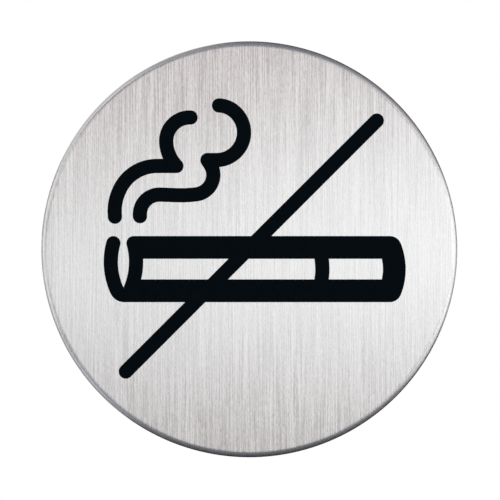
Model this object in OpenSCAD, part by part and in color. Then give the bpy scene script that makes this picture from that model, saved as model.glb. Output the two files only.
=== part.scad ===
// Round no smoking sign for a door: a shallow disc pressed from brushed stainless sheet,
// with its edge turned back all round, a pictogram printed on its face, and a pad of
// double-sided foam tape in its back.
// It stands as it does on the door: +Z is up, the printed face looks towards -Y, and the
// origin is the middle of the sticky face, where the pad meets the door.

/* [Disc] */
// Outside diameter of the disc
disc_d = 83; // [60:1:160]
// Thickness of the steel sheet
sheet_t = 0.5; // [0.3:0.05:0.8]
// Outside radius of the bend that rolls the face into the skirt
bend_r = 1.25; // [0.9:0.05:1.4]
// Chamfer left on both corners of the skirt's edge by deburring
edge_chamfer = 0.1; // [0.05:0.01:0.14]

/* [Foam pad] */
// Thickness of the foam tape
pad_t = 1.1; // [0.9:0.1:2.5]
// Gap between the pad's edge and the inside of the skirt
pad_margin = 3; // [1:0.5:12]
// Gap left between the skirt's edge and the door
door_gap = 0.1; // [0.05:0.05:0.2]

/* [Print] */
// Thickness of the dried ink
ink_t = 0.05; // [0.02:0.01:0.2]
// How far the wet ink spreads past the edge of its stencil
ink_spread = 0.02; // [0.01:0.01:0.05]
// Clear ring between the bend and the circle that the artwork fits in
print_margin = 2.77; // [1:0.01:12]
// Width of the slash, of each strand of smoke and of the line round the lit end
stroke_w = 2.81; // [2:0.01:3.5]

/* [Slash] */
// Length of the slash between the middles of its round ends
slash_len = 70.8; // [60:0.2:80]
// Angle that the slash climbs at
slash_angle = 45; // [35:1:55]
// Middle of the slash, sideways from the middle of the disc
slash_x = 0.4; // [-2:0.05:2]
// Middle of the slash, upwards from the middle of the disc
slash_z = 0.65; // [-2:0.05:2]

/* [Cigarette] */
// Height of the cigarette across its outline
cig_h = 13.16; // [11:0.02:16]
// Middle of the cigarette, upwards from the middle of the disc
cig_z = -3.95; // [-6:0.05:-3.5]
// Middle of the lit end, sideways from the middle of the disc
lit_x = -25.1; // [-27:0.1:-20]
// Furthest point of the filter end, sideways from the middle of the disc
filter_x = 31.18; // [26:0.02:33]
// Thickness of the outline along the top, the bottom and the filter end
outline_t = 4.51; // [3.6:0.01:5.5]
// Radius that the ends of the cigarette and of its windows bulge to
bulge_r = 13.8; // [12:0.2:20]
// Radius of the corners at the filter end
corner_r = 2.38; // [1:0.02:4]
// Length of the filter, from its band to the end
filter_len = 15.2; // [11:0.1:20]
// Width of the lit end's lens, between the middles of its two lines
lens_w = 5.05; // [4.5:0.05:7]
// Rise of the lens above the middle of the cigarette
lens_rise = 1.45; // [0:0.05:2]
// Inside radius where the lens turns into the bottom line
lens_turn_r = 0.2; // [0.1:0.05:1]

/* [Smoke] */
// Rise of the smoke's lower ends above the top of the cigarette
smoke_rise = 3.87; // [3:0.01:5]
// Distance between the lower ends of the two strands
smoke_gap = 5; // [4.5:0.1:6]
// Middle of the lower ends, sideways from the middle of the lit end
smoke_x = 0.8; // [-2:0.1:2]

/* [Hidden] */
$fa = 3;
$fs = 0.3;

// The skirt's height follows from the pad, which has to stand proud of it by the door gap
disc_h = pad_t + sheet_t - door_gap;
face_z = pad_t + sheet_t;
inner_r = disc_d / 2 - sheet_t;
pad_d = 2 * (inner_r - pad_margin);

// The artwork is drawn at the size it has on the 83 mm disc and scales with the flat face
art_reach = norm([slash_x, slash_z]) + (slash_len + stroke_w) / 2;
print_scale = (disc_d / 2 - bend_r - print_margin - ink_spread) / art_reach;

// The print is drawn with two pens. A line is given by its length, an arc by its radius and
// its turn in degrees, 180 at most and positive to the left, and a corner by its turn alone.
// A corner is rounded outside, and a dot rounds an end.
// Each strand of smoke starts at the middle of its lower end, with its heading in degrees.
smoke_mid_x = lit_x + smoke_x;
smoke_z = cig_z + cig_h / 2 + smoke_rise;
outer_start = [smoke_mid_x - smoke_gap / 2, smoke_z, 96];
outer_moves = [
    ["dot"],
    ["arc", 10, -35],
    ["arc", 8.2, -61],
    ["line", 3.9],
    ["corner", 134],
    ["arc", 7.3, -42],
    ["arc", 4.7, -94],
    ["dot"],
];
inner_start = [smoke_mid_x + smoke_gap / 2, smoke_z + 0.1, 96];
inner_moves = [
    ["dot"],
    ["arc", 3.9, -98],
    ["line", 3.6],
    ["arc", 21, 10],
    ["arc", 3.9, 115],
    ["line", 1],
    ["corner", -123],
    ["line", 1.8],
    ["arc", 5.5, 146],
    ["arc", 4.9, 32],
    ["dot"],
];

// The lit end's lens is two arcs, one in the mirror image of the other. Both reach up to the
// middle of a pen line along the top, and the left one turns into such a line at the bottom.
line_z = (cig_h - stroke_w) / 2;
lens_near_x = lit_x + lens_w / 2 - bulge_r;
lens_far_x = lit_x - lens_w / 2 + bulge_r;
lens_top_a = asin((line_z - lens_rise) / bulge_r);
lens_foot_a = asin((line_z + lens_rise) / bulge_r);
body_x = lens_near_x + bulge_r * cos(lens_top_a);
turn_r = lens_turn_r + stroke_w / 2;
turn_a = asin((line_z + lens_rise - turn_r) / (bulge_r - turn_r));
turn_x = lens_far_x - (bulge_r - turn_r) * cos(turn_a);

// The filter end bulges from corner to corner
corner_a = asin((cig_h / 2 - corner_r) / (bulge_r - corner_r));
corner_x = filter_x - bulge_r + (bulge_r - corner_r) * cos(corner_a);

// Carries what follows on to the place and heading where one move of the pen ends
module after(move) {
    if (move[0] == "line")
        translate([move[1], 0])
            children();
    else if (move[0] == "corner")
        rotate(move[1])
            children();
    else if (move[0] == "arc")
        translate([0, sign(move[2]) * move[1]])
            rotate(move[2])
                translate([0, -sign(move[2]) * move[1]])
                    children();
    else
        children();
}

// All that lies ahead of the pen, as far as reach
module ahead(reach) {
    translate([0, -reach])
        square([reach, 2 * reach]);
}

module mark(pen, move) {
    if (move[0] == "line")
        translate([0, -pen / 2])
            square([move[1], pen]);
    else if (move[0] == "arc")
        intersection() {
            translate([0, sign(move[2]) * move[1]])
                difference() {
                    circle(move[1] + pen / 2);
                    if (move[1] > pen / 2)
                        circle(move[1] - pen / 2);
                }
            ahead(2 * (move[1] + pen));
            after(move)
                rotate(180)
                    ahead(2 * (move[1] + pen));
        }
    else
        circle(pen / 2);
}

// What a pen draws from the origin, heading along +X at first. Each move is drawn in the
// frame that the one before it ends in, so the joints are smooth.
module stroke(pen, moves, i = 0) {
    if (i < len(moves)) {
        mark(pen, moves[i]);
        after(moves[i])
            stroke(pen, moves, i + 1);
    }
}

module strand(start, moves) {
    translate([start.x, start.y])
        rotate(start.z)
            stroke(stroke_w, moves);
}

module slash() {
    translate([slash_x, slash_z])
        rotate(slash_angle)
            translate([-slash_len / 2, 0])
                stroke(stroke_w, [["dot"], ["line", slash_len], ["dot"]]);
}

// The heavy outline: along the top, round the filter end and back along the bottom, drawn
// as two halves that meet in the middle
module outline() {
    for (side = [0, 1])
        mirror([0, side])
            intersection() {
                translate([body_x, (cig_h - outline_t) / 2])
                    stroke(outline_t, [
                        ["line", corner_x - body_x],
                        ["arc", corner_r - outline_t / 2, corner_a - 90],
                        ["arc", bulge_r - outline_t / 2, -2 * corner_a],
                    ]);
                rotate(90)
                    ahead(2 * filter_x);
            }
}

module filter_band() {
    band_a = asin((cig_h - outline_t) / 2 / bulge_r);
    translate([filter_x - filter_len - stroke_w / 2 - bulge_r, 0])
        rotate(band_a)
            translate([bulge_r, 0])
                rotate(-90)
                    stroke(stroke_w, [["arc", bulge_r, -2 * band_a]]);
}

module lit_end() {
    translate([body_x, line_z])
        rotate(lens_top_a - 90)
            stroke(stroke_w, [["dot"], ["arc", bulge_r, -lens_top_a - lens_foot_a]]);
    translate([body_x, -line_z])
        rotate(180)
            stroke(stroke_w, [
                ["line", body_x - turn_x],
                ["arc", turn_r, turn_a - 90],
                ["arc", bulge_r, -turn_a - lens_top_a],
                ["dot"],
            ]);
}

// Turns what is drawn flat, with its face upwards, to stand on the door
module on_door() {
    rotate([90, 0, 0])
        children();
}

// Half the section of a disc with a rounded shoulder
module shoulder(r, h, round_r) {
    square([r - round_r, h]);
    translate([r - round_r, 0])
        square([round_r, h - round_r]);
    translate([r - round_r, h - round_r])
        intersection() {
            circle(round_r);
            square(round_r);
        }
}

module edge_cut(r) {
    translate([r, 0])
        rotate(45)
            square(edge_chamfer * sqrt(2), center = true);
}

module face_plate() {
    color("gainsboro")
        on_door()
            translate([0, 0, door_gap])
                rotate_extrude()
                    difference() {
                        shoulder(disc_d / 2, disc_h, bend_r);
                        shoulder(inner_r, disc_h - sheet_t, bend_r - sheet_t);
                        edge_cut(disc_d / 2);
                        edge_cut(inner_r);
                    }
}

module pictogram() {
    color([0.02, 0.04, 0.05])
        on_door()
            translate([0, 0, face_z])
                linear_extrude(ink_t)
                    offset(delta = ink_spread)
                        scale(print_scale) {
                            strand(outer_start, outer_moves);
                            strand(inner_start, inner_moves);
                            slash();
                            translate([0, cig_z]) {
                                outline();
                                filter_band();
                                lit_end();
                            }
                        }
}

module adhesive_pad() {
    color("whitesmoke")
        on_door()
            cylinder(d = pad_d, h = pad_t);
}

face_plate();
pictogram();
adhesive_pad();
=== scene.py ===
"""Round no smoking sign for a door: a brushed stainless disc with a rolled edge, a printed
pictogram and a foam tape pad in its back, standing as it does on the door."""

import math

import bmesh
import bpy
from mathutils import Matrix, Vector, noise


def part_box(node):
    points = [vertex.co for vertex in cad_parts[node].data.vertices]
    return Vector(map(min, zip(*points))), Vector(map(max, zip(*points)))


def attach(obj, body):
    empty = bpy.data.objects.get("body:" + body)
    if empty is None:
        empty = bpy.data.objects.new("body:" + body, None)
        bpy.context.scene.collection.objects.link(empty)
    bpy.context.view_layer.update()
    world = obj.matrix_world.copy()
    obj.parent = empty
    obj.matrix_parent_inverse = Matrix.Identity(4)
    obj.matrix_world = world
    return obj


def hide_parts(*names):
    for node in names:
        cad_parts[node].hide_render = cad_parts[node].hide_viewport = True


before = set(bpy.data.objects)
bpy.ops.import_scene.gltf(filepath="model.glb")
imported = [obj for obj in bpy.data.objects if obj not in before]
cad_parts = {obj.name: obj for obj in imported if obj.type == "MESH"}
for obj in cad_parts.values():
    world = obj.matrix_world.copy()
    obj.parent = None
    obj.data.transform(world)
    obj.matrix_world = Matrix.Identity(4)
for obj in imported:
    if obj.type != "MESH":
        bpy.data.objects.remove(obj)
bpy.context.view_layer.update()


# Camera: square on to the printed face, at the distance where the disc fills the frame as in
# the photograph. What shows as the disc's outline is the bend, a little behind the face.
FRAME_PX = 500
DISC_PX = 416.2
DISC_CENTRE_PX = (249.3, 249.3)
OUTLINE_DEPTH = 0.001
LENS_MM = 135
SENSOR_MM = 36
CLIP = (0.01, 6)

face_low, face_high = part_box("face_plate")
disc_r = (face_high.z - face_low.z) / 2
front_y, back_y = face_low.y, face_high.y
metres_per_px = 2 * disc_r / DISC_PX

camera = bpy.data.objects.new("camera", bpy.data.cameras.new("camera"))
camera.data.lens = LENS_MM
camera.data.sensor_width = SENSOR_MM
camera.data.clip_start, camera.data.clip_end = CLIP
camera.location = (
    (FRAME_PX / 2 - DISC_CENTRE_PX[0]) * metres_per_px,
    front_y + OUTLINE_DEPTH - FRAME_PX * metres_per_px * LENS_MM / SENSOR_MM,
    (DISC_CENTRE_PX[1] - FRAME_PX / 2) * metres_per_px,
)
camera.rotation_euler = (math.radians(90), 0, 0)
bpy.context.collection.objects.link(camera)
bpy.context.scene.camera = camera
bpy.context.scene.view_settings.view_transform = "Standard"


# Steel disc: a blank of 0.5 mm stainless sheet, brushed upright on its face, pressed into a
# shallow pan so that its edge rolls back in a round bend, and deburred on the cut edge.
SHEET = 0.0005
BEND = 0.00125
DEBURR = 0.0001
BEND_STEPS = 14
DISC_STEPS = 288
FLAT_RING = 0.0002
MERGE = 0.00001
EDGE_ANGLE = math.radians(30)


def spun(outline, steps, cuts=0):
    """A mesh turned about the Y axis from (radius, y) points that start and end on it. Cuts
    divide the first stretch into more rings."""
    mesh = bmesh.new()
    points = [mesh.verts.new((r, y, 0)) for r, y in outline]
    edges = [mesh.edges.new(pair) for pair in zip(points, points[1:])]
    if cuts:
        bmesh.ops.subdivide_edges(mesh, edges=edges[:1], cuts=cuts)
    bmesh.ops.spin(mesh, geom=mesh.verts[:] + mesh.edges[:], axis=(0, 1, 0), angle=math.tau,
                   steps=steps, use_merge=True)
    bmesh.ops.remove_doubles(mesh, verts=mesh.verts, dist=MERGE)
    bmesh.ops.recalc_face_normals(mesh, faces=mesh.faces)
    return mesh


def reach(point):
    """The distance of a point from the Y axis."""
    return math.hypot(point.x, point.z)


def rounded(mesh, r, y, size, steps):
    """Bevels the circle of radius r at y."""
    corners = {
        vert for vert in mesh.verts
        if abs(reach(vert.co) - r) < MERGE and abs(vert.co.y - y) < MERGE
    }
    circle = [edge for edge in mesh.edges if corners.issuperset(edge.verts)]
    bmesh.ops.bevel(mesh, geom=circle, affect="EDGES", offset=size, segments=steps,
                    profile=0.5, material=-1)


def made(mesh, name, *finishes):
    """The object for a mesh, with its materials."""
    data = bpy.data.meshes.new(name)
    mesh.to_mesh(data)
    mesh.free()
    for finish in finishes:
        data.materials.append(finish.material)
    thing = bpy.data.objects.new(name, data)
    bpy.context.collection.objects.link(thing)
    return thing


class Value:
    """A node's output, whose arithmetic adds Math nodes."""

    def __init__(self, nodes, socket):
        self.nodes, self.socket = nodes, socket

    def math(self, operation, other):
        return self.nodes.node("ShaderNodeMath", {"operation": operation}, {0: self, 1: other})

    def __add__(self, other):
        return self.math("ADD", other)

    def __mul__(self, other):
        return self.math("MULTIPLY", other)

    __radd__, __rmul__ = __add__, __mul__


class Nodes:
    """A node tree, and the nodes that the finishes here are made of."""

    def __init__(self, tree):
        self.tree = tree

    def plug(self, given, entry):
        if isinstance(given, Value):
            self.tree.links.new(given.socket, entry)
        else:
            entry.default_value = given

    def node(self, kind, settings=None, values=None, out=0):
        """Adds a node, with its settings, then its sockets, and gives one of its outputs."""
        added = self.tree.nodes.new(kind)
        for key, setting in (settings or {}).items():
            setattr(added, key, setting)
        for key, given in (values or {}).items():
            self.plug(given, added.inputs[key])
        return Value(self, added.outputs[out])

    def place(self, scale):
        """Object coordinates, in cells per metre."""
        here = self.node("ShaderNodeTexCoord", out="Object")
        return self.node("ShaderNodeMapping", values={"Vector": here, "Scale": scale})

    def noise(self, scale, detail, roughness=0.5):
        values = {"Vector": self.place(scale), "Scale": 1, "Detail": detail, "Roughness": roughness}
        return self.node("ShaderNodeTexNoise", values=values)

    def ramp(self, value, low, high, to_low=0, to_high=1):
        values = {0: value, 1: low, 2: high, 3: to_low, 4: to_high}
        return self.node("ShaderNodeMapRange", values=values)

    def tint(self, amount, low, high):
        """A colour between two: sockets 6 and 7 of the Mix node, which gives it at 2."""
        values = {0: amount, 6: (*low, 1), 7: (*high, 1)}
        return self.node("ShaderNodeMix", {"data_type": "RGBA"}, values, out=2)

    def bump(self, height, distance):
        return self.node("ShaderNodeBump", values={"Height": height, "Distance": distance})


class Finish(Nodes):
    """A material with one Principled shader, whose constants are set on the shader."""

    def __init__(self, name, **constants):
        self.material = bpy.data.materials.new(name)
        self.material.use_nodes = True
        super().__init__(self.material.node_tree)
        self.feed(**constants)

    def feed(self, **sockets):
        shader = self.tree.nodes["Principled BSDF"]
        for key, given in sockets.items():
            self.plug(given, shader.inputs[key.replace("_", " ")])


# Brushing: upright hairlines of several widths, the coarse ones longer, in tone, in relief
# and in sheen. Cells per metre, with the height of the sign last. The light spreads sideways,
# across the hairlines.
GRIT = (7000, 7000, 900)
HAIR = (8500, 8500, 80)
LINE = (3200, 3200, 35)
BAND = (200, 200, 9)
STREAK_RANGE = (0.36, 0.64)
STREAK_TONES = (0.592, 0.592, 0.592), (0.876, 0.876, 0.876)
STREAK_SHEEN = (0.2, 0.33)
STREAK_DEPTH = 0.0000016
brushed = Finish("brushed stainless", Metallic=1, IOR=2, Anisotropic=0.75)
streak = (
    0.3 * brushed.noise(GRIT, detail=1) + 0.57 * brushed.noise(HAIR, detail=1)
    + 0.08 * brushed.noise(LINE, detail=2) + 0.05 * brushed.noise(BAND, detail=2)
)
brushed.feed(
    Base_Color=brushed.tint(brushed.ramp(streak, *STREAK_RANGE), *STREAK_TONES),
    Roughness=brushed.ramp(streak, *STREAK_RANGE, *STREAK_SHEEN),
    Normal=brushed.bump(streak, STREAK_DEPTH),
)

# The inside of the pan keeps the dull finish of the rolling mill
GRAIN = (900, 900, 900)
ROLLING = (700, 700, 30)
GRAIN_RANGE = (0.3, 0.7)
MILL_TONES = (0.56, 0.56, 0.55), (0.74, 0.73, 0.72)
MILL_SHEEN = (0.44, 0.56)
GRAIN_DEPTH = 0.000008
mill = Finish("mill finish steel", Metallic=1, IOR=2)
grain = mill.noise(GRAIN, detail=4, roughness=0.6)
rolling = mill.noise(ROLLING, detail=2)
mill.feed(
    Base_Color=mill.tint(0.6 * grain + 0.4 * rolling, *MILL_TONES),
    Roughness=mill.ramp(grain, *GRAIN_RANGE, *MILL_SHEEN),
    Normal=mill.bump(grain, GRAIN_DEPTH),
)

# The square-cornered pan, with a ring beside each bend that keeps the flat shading flat
flat_r = disc_r - BEND - FLAT_RING
pan = spun([
    (0, front_y), (flat_r, front_y), (disc_r, front_y), (disc_r, back_y),
    (disc_r - SHEET, back_y), (disc_r - SHEET, front_y + SHEET), (flat_r, front_y + SHEET),
    (0, front_y + SHEET),
], DISC_STEPS)
rounded(pan, disc_r, front_y, BEND, BEND_STEPS)
rounded(pan, disc_r - SHEET, front_y + SHEET, BEND - SHEET, BEND_STEPS)
rounded(pan, disc_r, back_y, DEBURR, 1)
rounded(pan, disc_r - SHEET, back_y, DEBURR, 1)
for face in pan.faces:
    middle = face.calc_center_median()
    inside = middle.y > front_y + SHEET / 2 and reach(middle) < disc_r - SHEET / 2
    face.material_index = int(inside)
disc = made(pan, "steel_disc", brushed, mill)
disc.data.shade_smooth()
disc.data.set_sharp_from_angle(angle=EDGE_ANGLE)
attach(disc, "root")
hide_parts("face_plate")


# Pictogram: one pass of black screen ink straight on the brushed face, with a satin surface
# that follows the hairlines underneath only faintly.
INK_SPECKLE = (700, 700, 700)
INK_HAIR = (1500, 1500, 40)
SPECKLE_RANGE = (0.3, 0.7)
INK_TONES = (0.0001, 0.0015, 0.0027), (0.0006, 0.0029, 0.0046)
INK_SHEEN = (0.42, 0.52)
INK_DEPTH = 0.000004
ink = Finish("black screen ink", IOR=1.5, Specular_IOR_Level=0.022)
speckle = ink.noise(INK_SPECKLE, detail=3)
under = ink.noise(INK_HAIR, detail=2)
ink.feed(
    Base_Color=ink.tint(speckle, *INK_TONES),
    Roughness=ink.ramp(speckle, *SPECKLE_RANGE, *INK_SHEEN),
    Normal=ink.bump(0.5 * speckle + 0.5 * under, INK_DEPTH),
)
print_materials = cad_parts["pictogram"].data.materials
print_materials.clear()
print_materials.append(ink.material)


# Foam pad: a disc die-cut from double-sided foam tape and stuck in the pan. A film of clear
# adhesive covers each side, slightly rippled where the liner came off, and the cut pinched
# the foam between the films.
FILM = 0.00006
PINCH = 0.00014
PINCH_ROUND = 0.0004
PINCH_STEPS = 6
RIPPLE = 0.000025
RIPPLE_CELLS = 130
REAR_RINGS = 36
PAD_STEPS = 192

# The adhesive is coated in upright streaks, and the foam behind it shows through in clouds
# and dimples
COAT = (900, 900, 14)
CLOUD = (190, 190, 190)
DIMPLE = (1500, 1500, 1500)
CLOUD_RANGE = (0.36, 0.64)
FILM_TONES = (0.68, 0.67, 0.63), (0.84, 0.835, 0.81)
FILM_SHEEN = (0.2, 0.42)
DIMPLE_DEPTH = 0.00004
film = Finish("adhesive film", IOR=1.47)
coat = film.noise(COAT, detail=2)
cloud = film.noise(CLOUD, detail=4, roughness=0.6)
dimple = film.noise(DIMPLE, detail=2)
shade = film.ramp(0.3 * coat + 0.45 * cloud + 0.25 * dimple, *CLOUD_RANGE)
film.feed(
    Base_Color=film.tint(shade, *FILM_TONES),
    Roughness=film.ramp(0.5 * cloud + 0.5 * dimple, *CLOUD_RANGE, *FILM_SHEEN),
    Normal=film.bump(0.5 * coat + 0.5 * dimple, DIMPLE_DEPTH),
)

# Foam core: pores sunk in relief. Their colour goes darker towards the middle of each pore, partly
# the foam's own tone and partly painted shade in the pits.
PORE = (4200, 4200, 4200)
PORE_RANGE = (0.1, 0.5)
FOAM_TONES_AND_PIT_SHADE = (0.5, 0.5, 0.48), (0.88, 0.88, 0.86)
PORE_DEPTH = 0.00005
foam = Finish("foam core", Roughness=0.75, IOR=1.45)
cell = foam.node("ShaderNodeTexVoronoi", values={"Vector": foam.place(PORE), "Scale": 1})
pore_depth_and_shade = foam.ramp(cell, *PORE_RANGE)
foam.feed(
    Base_Color=foam.tint(pore_depth_and_shade, *FOAM_TONES_AND_PIT_SHADE),
    Normal=foam.bump(pore_depth_and_shade, PORE_DEPTH),
)

# The films stand straight at the edge, and the foam between them has a round waist
pad_low, pad_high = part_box("adhesive_pad")
pad_r = (pad_high.z - pad_low.z) / 2
waist_y = (pad_low.y + pad_high.y) / 2
tape = spun([
    (0, pad_high.y), (pad_r, pad_high.y), (pad_r, pad_high.y - FILM), (pad_r - PINCH, waist_y),
    (pad_r, pad_low.y + FILM), (pad_r, pad_low.y), (0, pad_low.y),
], PAD_STEPS, cuts=REAR_RINGS)
rounded(tape, pad_r - PINCH, waist_y, PINCH_ROUND, PINCH_STEPS)
for vert in tape.verts:
    if vert.co.y > pad_high.y - MERGE and reach(vert.co) < pad_r - FILM:
        vert.co.y -= RIPPLE * (1 + noise.noise(vert.co * RIPPLE_CELLS)) / 2
tape.normal_update()
for face in tape.faces:
    face.material_index = int(abs(face.normal.y) < math.cos(EDGE_ANGLE))
pad = made(tape, "foam_pad", film, foam)
pad.data.shade_smooth()
pad.data.set_sharp_from_angle(angle=EDGE_ANGLE)
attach(pad, "root")
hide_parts("adhesive_pad")


# Studio: a pale floor well below the sign, a white surround and soft lamps. Cards that only
# the metal sees shape the light on its face and round its rim.
WHITE = Vector((1, 1, 1))
PINK = Vector((1.24, 1, 0.95))
COOL = Vector((0.985, 1, 1.005))
VIOLET = Vector((1, 0.99, 1.12))
FLAT, UPRIGHT, ACROSS = (0, 0, 0), (0, 90, 0), (90, 90, 0)


def card(name, size, place, turn, near, far=None):
    """A card that glows in one colour, or runs from near, at its own -Y edge, to far."""
    look = Finish(name, Base_Color=(0, 0, 0, 1), Specular_IOR_Level=0,
                  Emission_Color=(*near, 1), Emission_Strength=1)
    if far is not None:
        along = look.node("ShaderNodeSeparateXYZ", values={0: look.place((1, 1, 1))}, out="Y")
        amount = look.ramp(along, -size[1] / 2, size[1] / 2)
        look.feed(Emission_Color=look.tint(amount, near, far))
    mesh = bmesh.new()
    bmesh.ops.create_grid(mesh, x_segments=1, y_segments=1, size=0.5)
    bmesh.ops.scale(mesh, vec=(*size, 1), verts=mesh.verts)
    board = made(mesh, name, look)
    board.location = place
    board.rotation_euler = [math.radians(angle) for angle in turn]
    board.visible_camera = board.visible_diffuse = board.visible_shadow = False
    board.visible_transmission = False


# The flat face sees two long cards in front of it, one over the other, and the row that
# closes the gap between them at the far end
card("card over front", (2.6, 1.6), (0, -1.25, 0.12), (0, -9, 0), 0.72 * COOL, 0.43 * PINK)
card("card under front", (3.2, 1.6), (0, -1.25, -0.115), FLAT, 1.12 * COOL, 0.27 * PINK)
card("card front left", (0.4, 1.2), (-1, -1.9, 0), ACROSS, 0.96 * COOL)
card("card front", (0.4, 0.8), (0, -1.9, 0), ACROSS, 0.96 * COOL, 1.48 * COOL)
card("card front right", (0.4, 1.2), (1, -1.9, 0), ACROSS, 1.53 * COOL, 1.4 * COOL)

# The rest show mostly in the bend round the rim
card("card over front right", (0.62, 0.75), (0.59, -0.825, 0.155), FLAT, WHITE, 1.05 * WHITE)
card("card above far left", (0.37, 0.5), (-0.465, -0.4, 0.21), FLAT, 0.55 * WHITE, 0.75 * WHITE)
card("card above left", (0.25, 0.65), (-0.155, -0.475, 0.21), FLAT, 0.4 * VIOLET, 0.34 * VIOLET)
card("card above", (0.13, 0.8), (0.035, -0.4, 0.21), FLAT, 0.54 * VIOLET, 0.19 * VIOLET)
card("card above right", (0.18, 0.65), (0.19, -0.325, 0.21), FLAT, 1.15 * WHITE, 0.27 * VIOLET)
card("card above far right", (0.62, 0.65), (0.59, -0.325, 0.21), FLAT, 1.15 * WHITE, 0.6 * WHITE)
card("card above behind", (0.78, 1.2), (0.36, 0.6, 0.21), FLAT, 0.1 * VIOLET, 0 * WHITE)
card("card above middle", (0.1, 0.35), (-0.08, 0.025, 0.21), FLAT, 0.34 * WHITE, 0.5 * WHITE)
card("card above left behind", (0.52, 0.6), (-0.39, 0.15, 0.21), FLAT, 1.05 * WHITE, 0.35 * WHITE)
card("card under front right", (1, 0.95), (0.76, -0.925, -0.11), FLAT, WHITE, 1.25 * WHITE)
card("card below left", (0.5, 2.04), (-0.4, 0.18, -0.21), FLAT, 0.47 * VIOLET, 0.2 * VIOLET)
card("card below far left", (0.45, 0.13), (-0.425, -0.035, -0.2), FLAT, WHITE)
card("card below", (0.27, 0.8), (-0.015, -0.44, -0.21), FLAT, 0.26 * VIOLET, 0.14 * VIOLET)
card("card below right", (0.14, 0.8), (0.19, -0.44, -0.21), FLAT, 0.82 * WHITE, 0.2 * VIOLET)
card("card below far right", (0.64, 0.86), (0.58, -0.41, -0.2), FLAT, 1.3 * WHITE, 0.7 * WHITE)
card("card below behind", (1.35, 1.24), (0.525, 0.58, -0.21), FLAT, 0.02 * VIOLET, 0 * WHITE)
card("card right", (0.4, 1.35), (0.5, -0.525, 0), UPRIGHT, 1.3 * WHITE)
card("card right behind", (0.5, 0.75), (0.5, 0.525, 0), UPRIGHT, 0.2 * WHITE, 0 * WHITE)
card("card left", (0.4, 0.9), (-0.5, -0.75, 0), UPRIGHT, 0.75 * WHITE)
card("card left near", (0.4, 0.35), (-0.5, -0.125, 0), UPRIGHT, 0.8 * WHITE, 1.5 * WHITE)
card("card left behind", (0.5, 0.8), (-0.5, 0.45, 0), UPRIGHT, 0.6 * WHITE, 0 * WHITE)

# The floor runs out into the white of the surround
FLOOR_Z = -0.6
FLOOR_R = 4.5
FLOOR_STEPS = 64
FLOOR_TONE = 0.96
FADE = (0.9, 3)
pale = Finish("pale floor", Roughness=0.9, Specular_IOR_Level=0, Emission_Strength=1)
across = pale.place((1, 1, 0))
away = pale.node("ShaderNodeVectorMath", {"operation": "LENGTH"}, {0: across}, out="Value")
faded = pale.ramp(away, *FADE)
pale.feed(
    Base_Color=pale.tint(faded, FLOOR_TONE * WHITE, 0 * WHITE),
    Emission_Color=pale.tint(faded, 0 * WHITE, WHITE),
)
ground = bmesh.new()
bmesh.ops.create_circle(ground, cap_ends=True, segments=FLOOR_STEPS, radius=FLOOR_R)
bmesh.ops.translate(ground, vec=(0, 0, FLOOR_Z), verts=ground.verts)
made(ground, "floor", pale)

# What the camera and the metal see of the surround is white, and it lights the rest a little
# less strongly
SURROUND = 0.8
world = bpy.data.worlds.new("white surround")
world.use_nodes = True
bpy.context.scene.world = world
sky = Nodes(world.node_tree)
seen, glossy, through = [
    sky.node("ShaderNodeLightPath", out=f"Is {kind} Ray")
    for kind in ("Camera", "Glossy", "Transmission")
]
shown = seen.math("MAXIMUM", glossy).math("MAXIMUM", through)
background = world.node_tree.nodes["Background"]
sky.plug((1, 1, 1, 1), background.inputs["Color"])
sky.plug(shown * (1 - SURROUND) + SURROUND, background.inputs["Strength"])

LAMP_SIZE = 0.7


def lamp(name, place, power):
    """A soft round lamp that faces the sign and doesn't show in the metal."""
    light = bpy.data.lights.new(name, "AREA")
    light.shape = "DISK"
    light.size, light.energy = LAMP_SIZE, power
    holder = bpy.data.objects.new(name, light)
    holder.location = place
    holder.rotation_euler = Vector(place).to_track_quat("Z", "Y").to_euler()
    holder.visible_camera = holder.visible_glossy = False
    bpy.context.collection.objects.link(holder)


lamp("soft lamp right", (0.8, -1, 0.9), 6)
lamp("soft lamp left", (-1, -0.8, 0.6), 3)
lamp("soft lamp behind", (0.4, 1.2, 0.7), 4)
